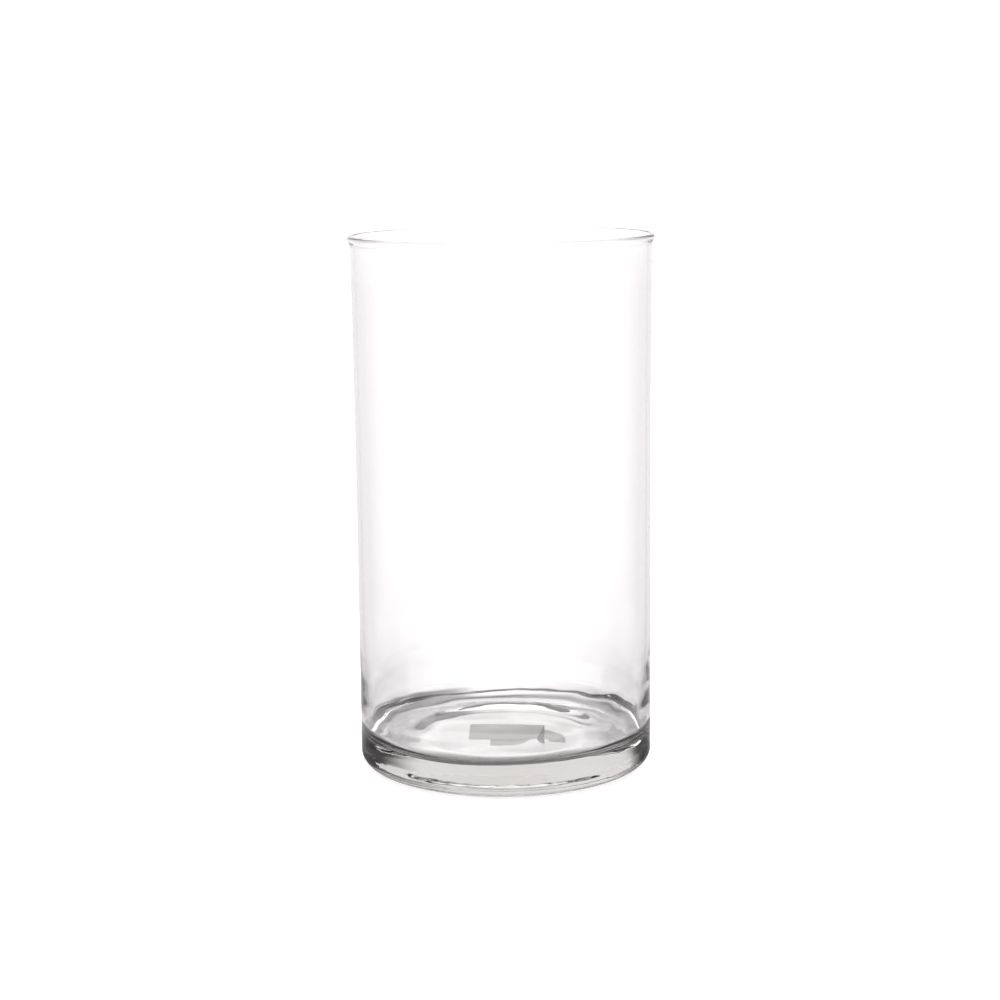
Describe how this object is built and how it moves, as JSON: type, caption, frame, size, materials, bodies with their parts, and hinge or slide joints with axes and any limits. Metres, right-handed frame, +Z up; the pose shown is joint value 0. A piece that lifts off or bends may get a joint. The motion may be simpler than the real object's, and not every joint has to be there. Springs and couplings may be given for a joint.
{
  "type": "cylinder vase",
  "caption": "Clear glass cylinder vase with a thin, nearly straight wall, a flared polished lip and a thick solid base, with paper labels under the base.",
  "frame": {"origin": "centre of the circle the vase stands on, on the table's surface", "axes": "+Z up along the vase's axis, out of its mouth; -Y is the front, the side the lower label lies nearer to"},
  "size_m": [0.144, 0.144, 0.254],
  "materials": {
    "glass": "clear, fire-polished",
    "label_paper": "matt white paper"
  },
  "bodies": {
    "root": {"vase_body": "glass", "label_upper": "label_paper", "label_lower": "label_paper"}
  },
  "joints": []
}
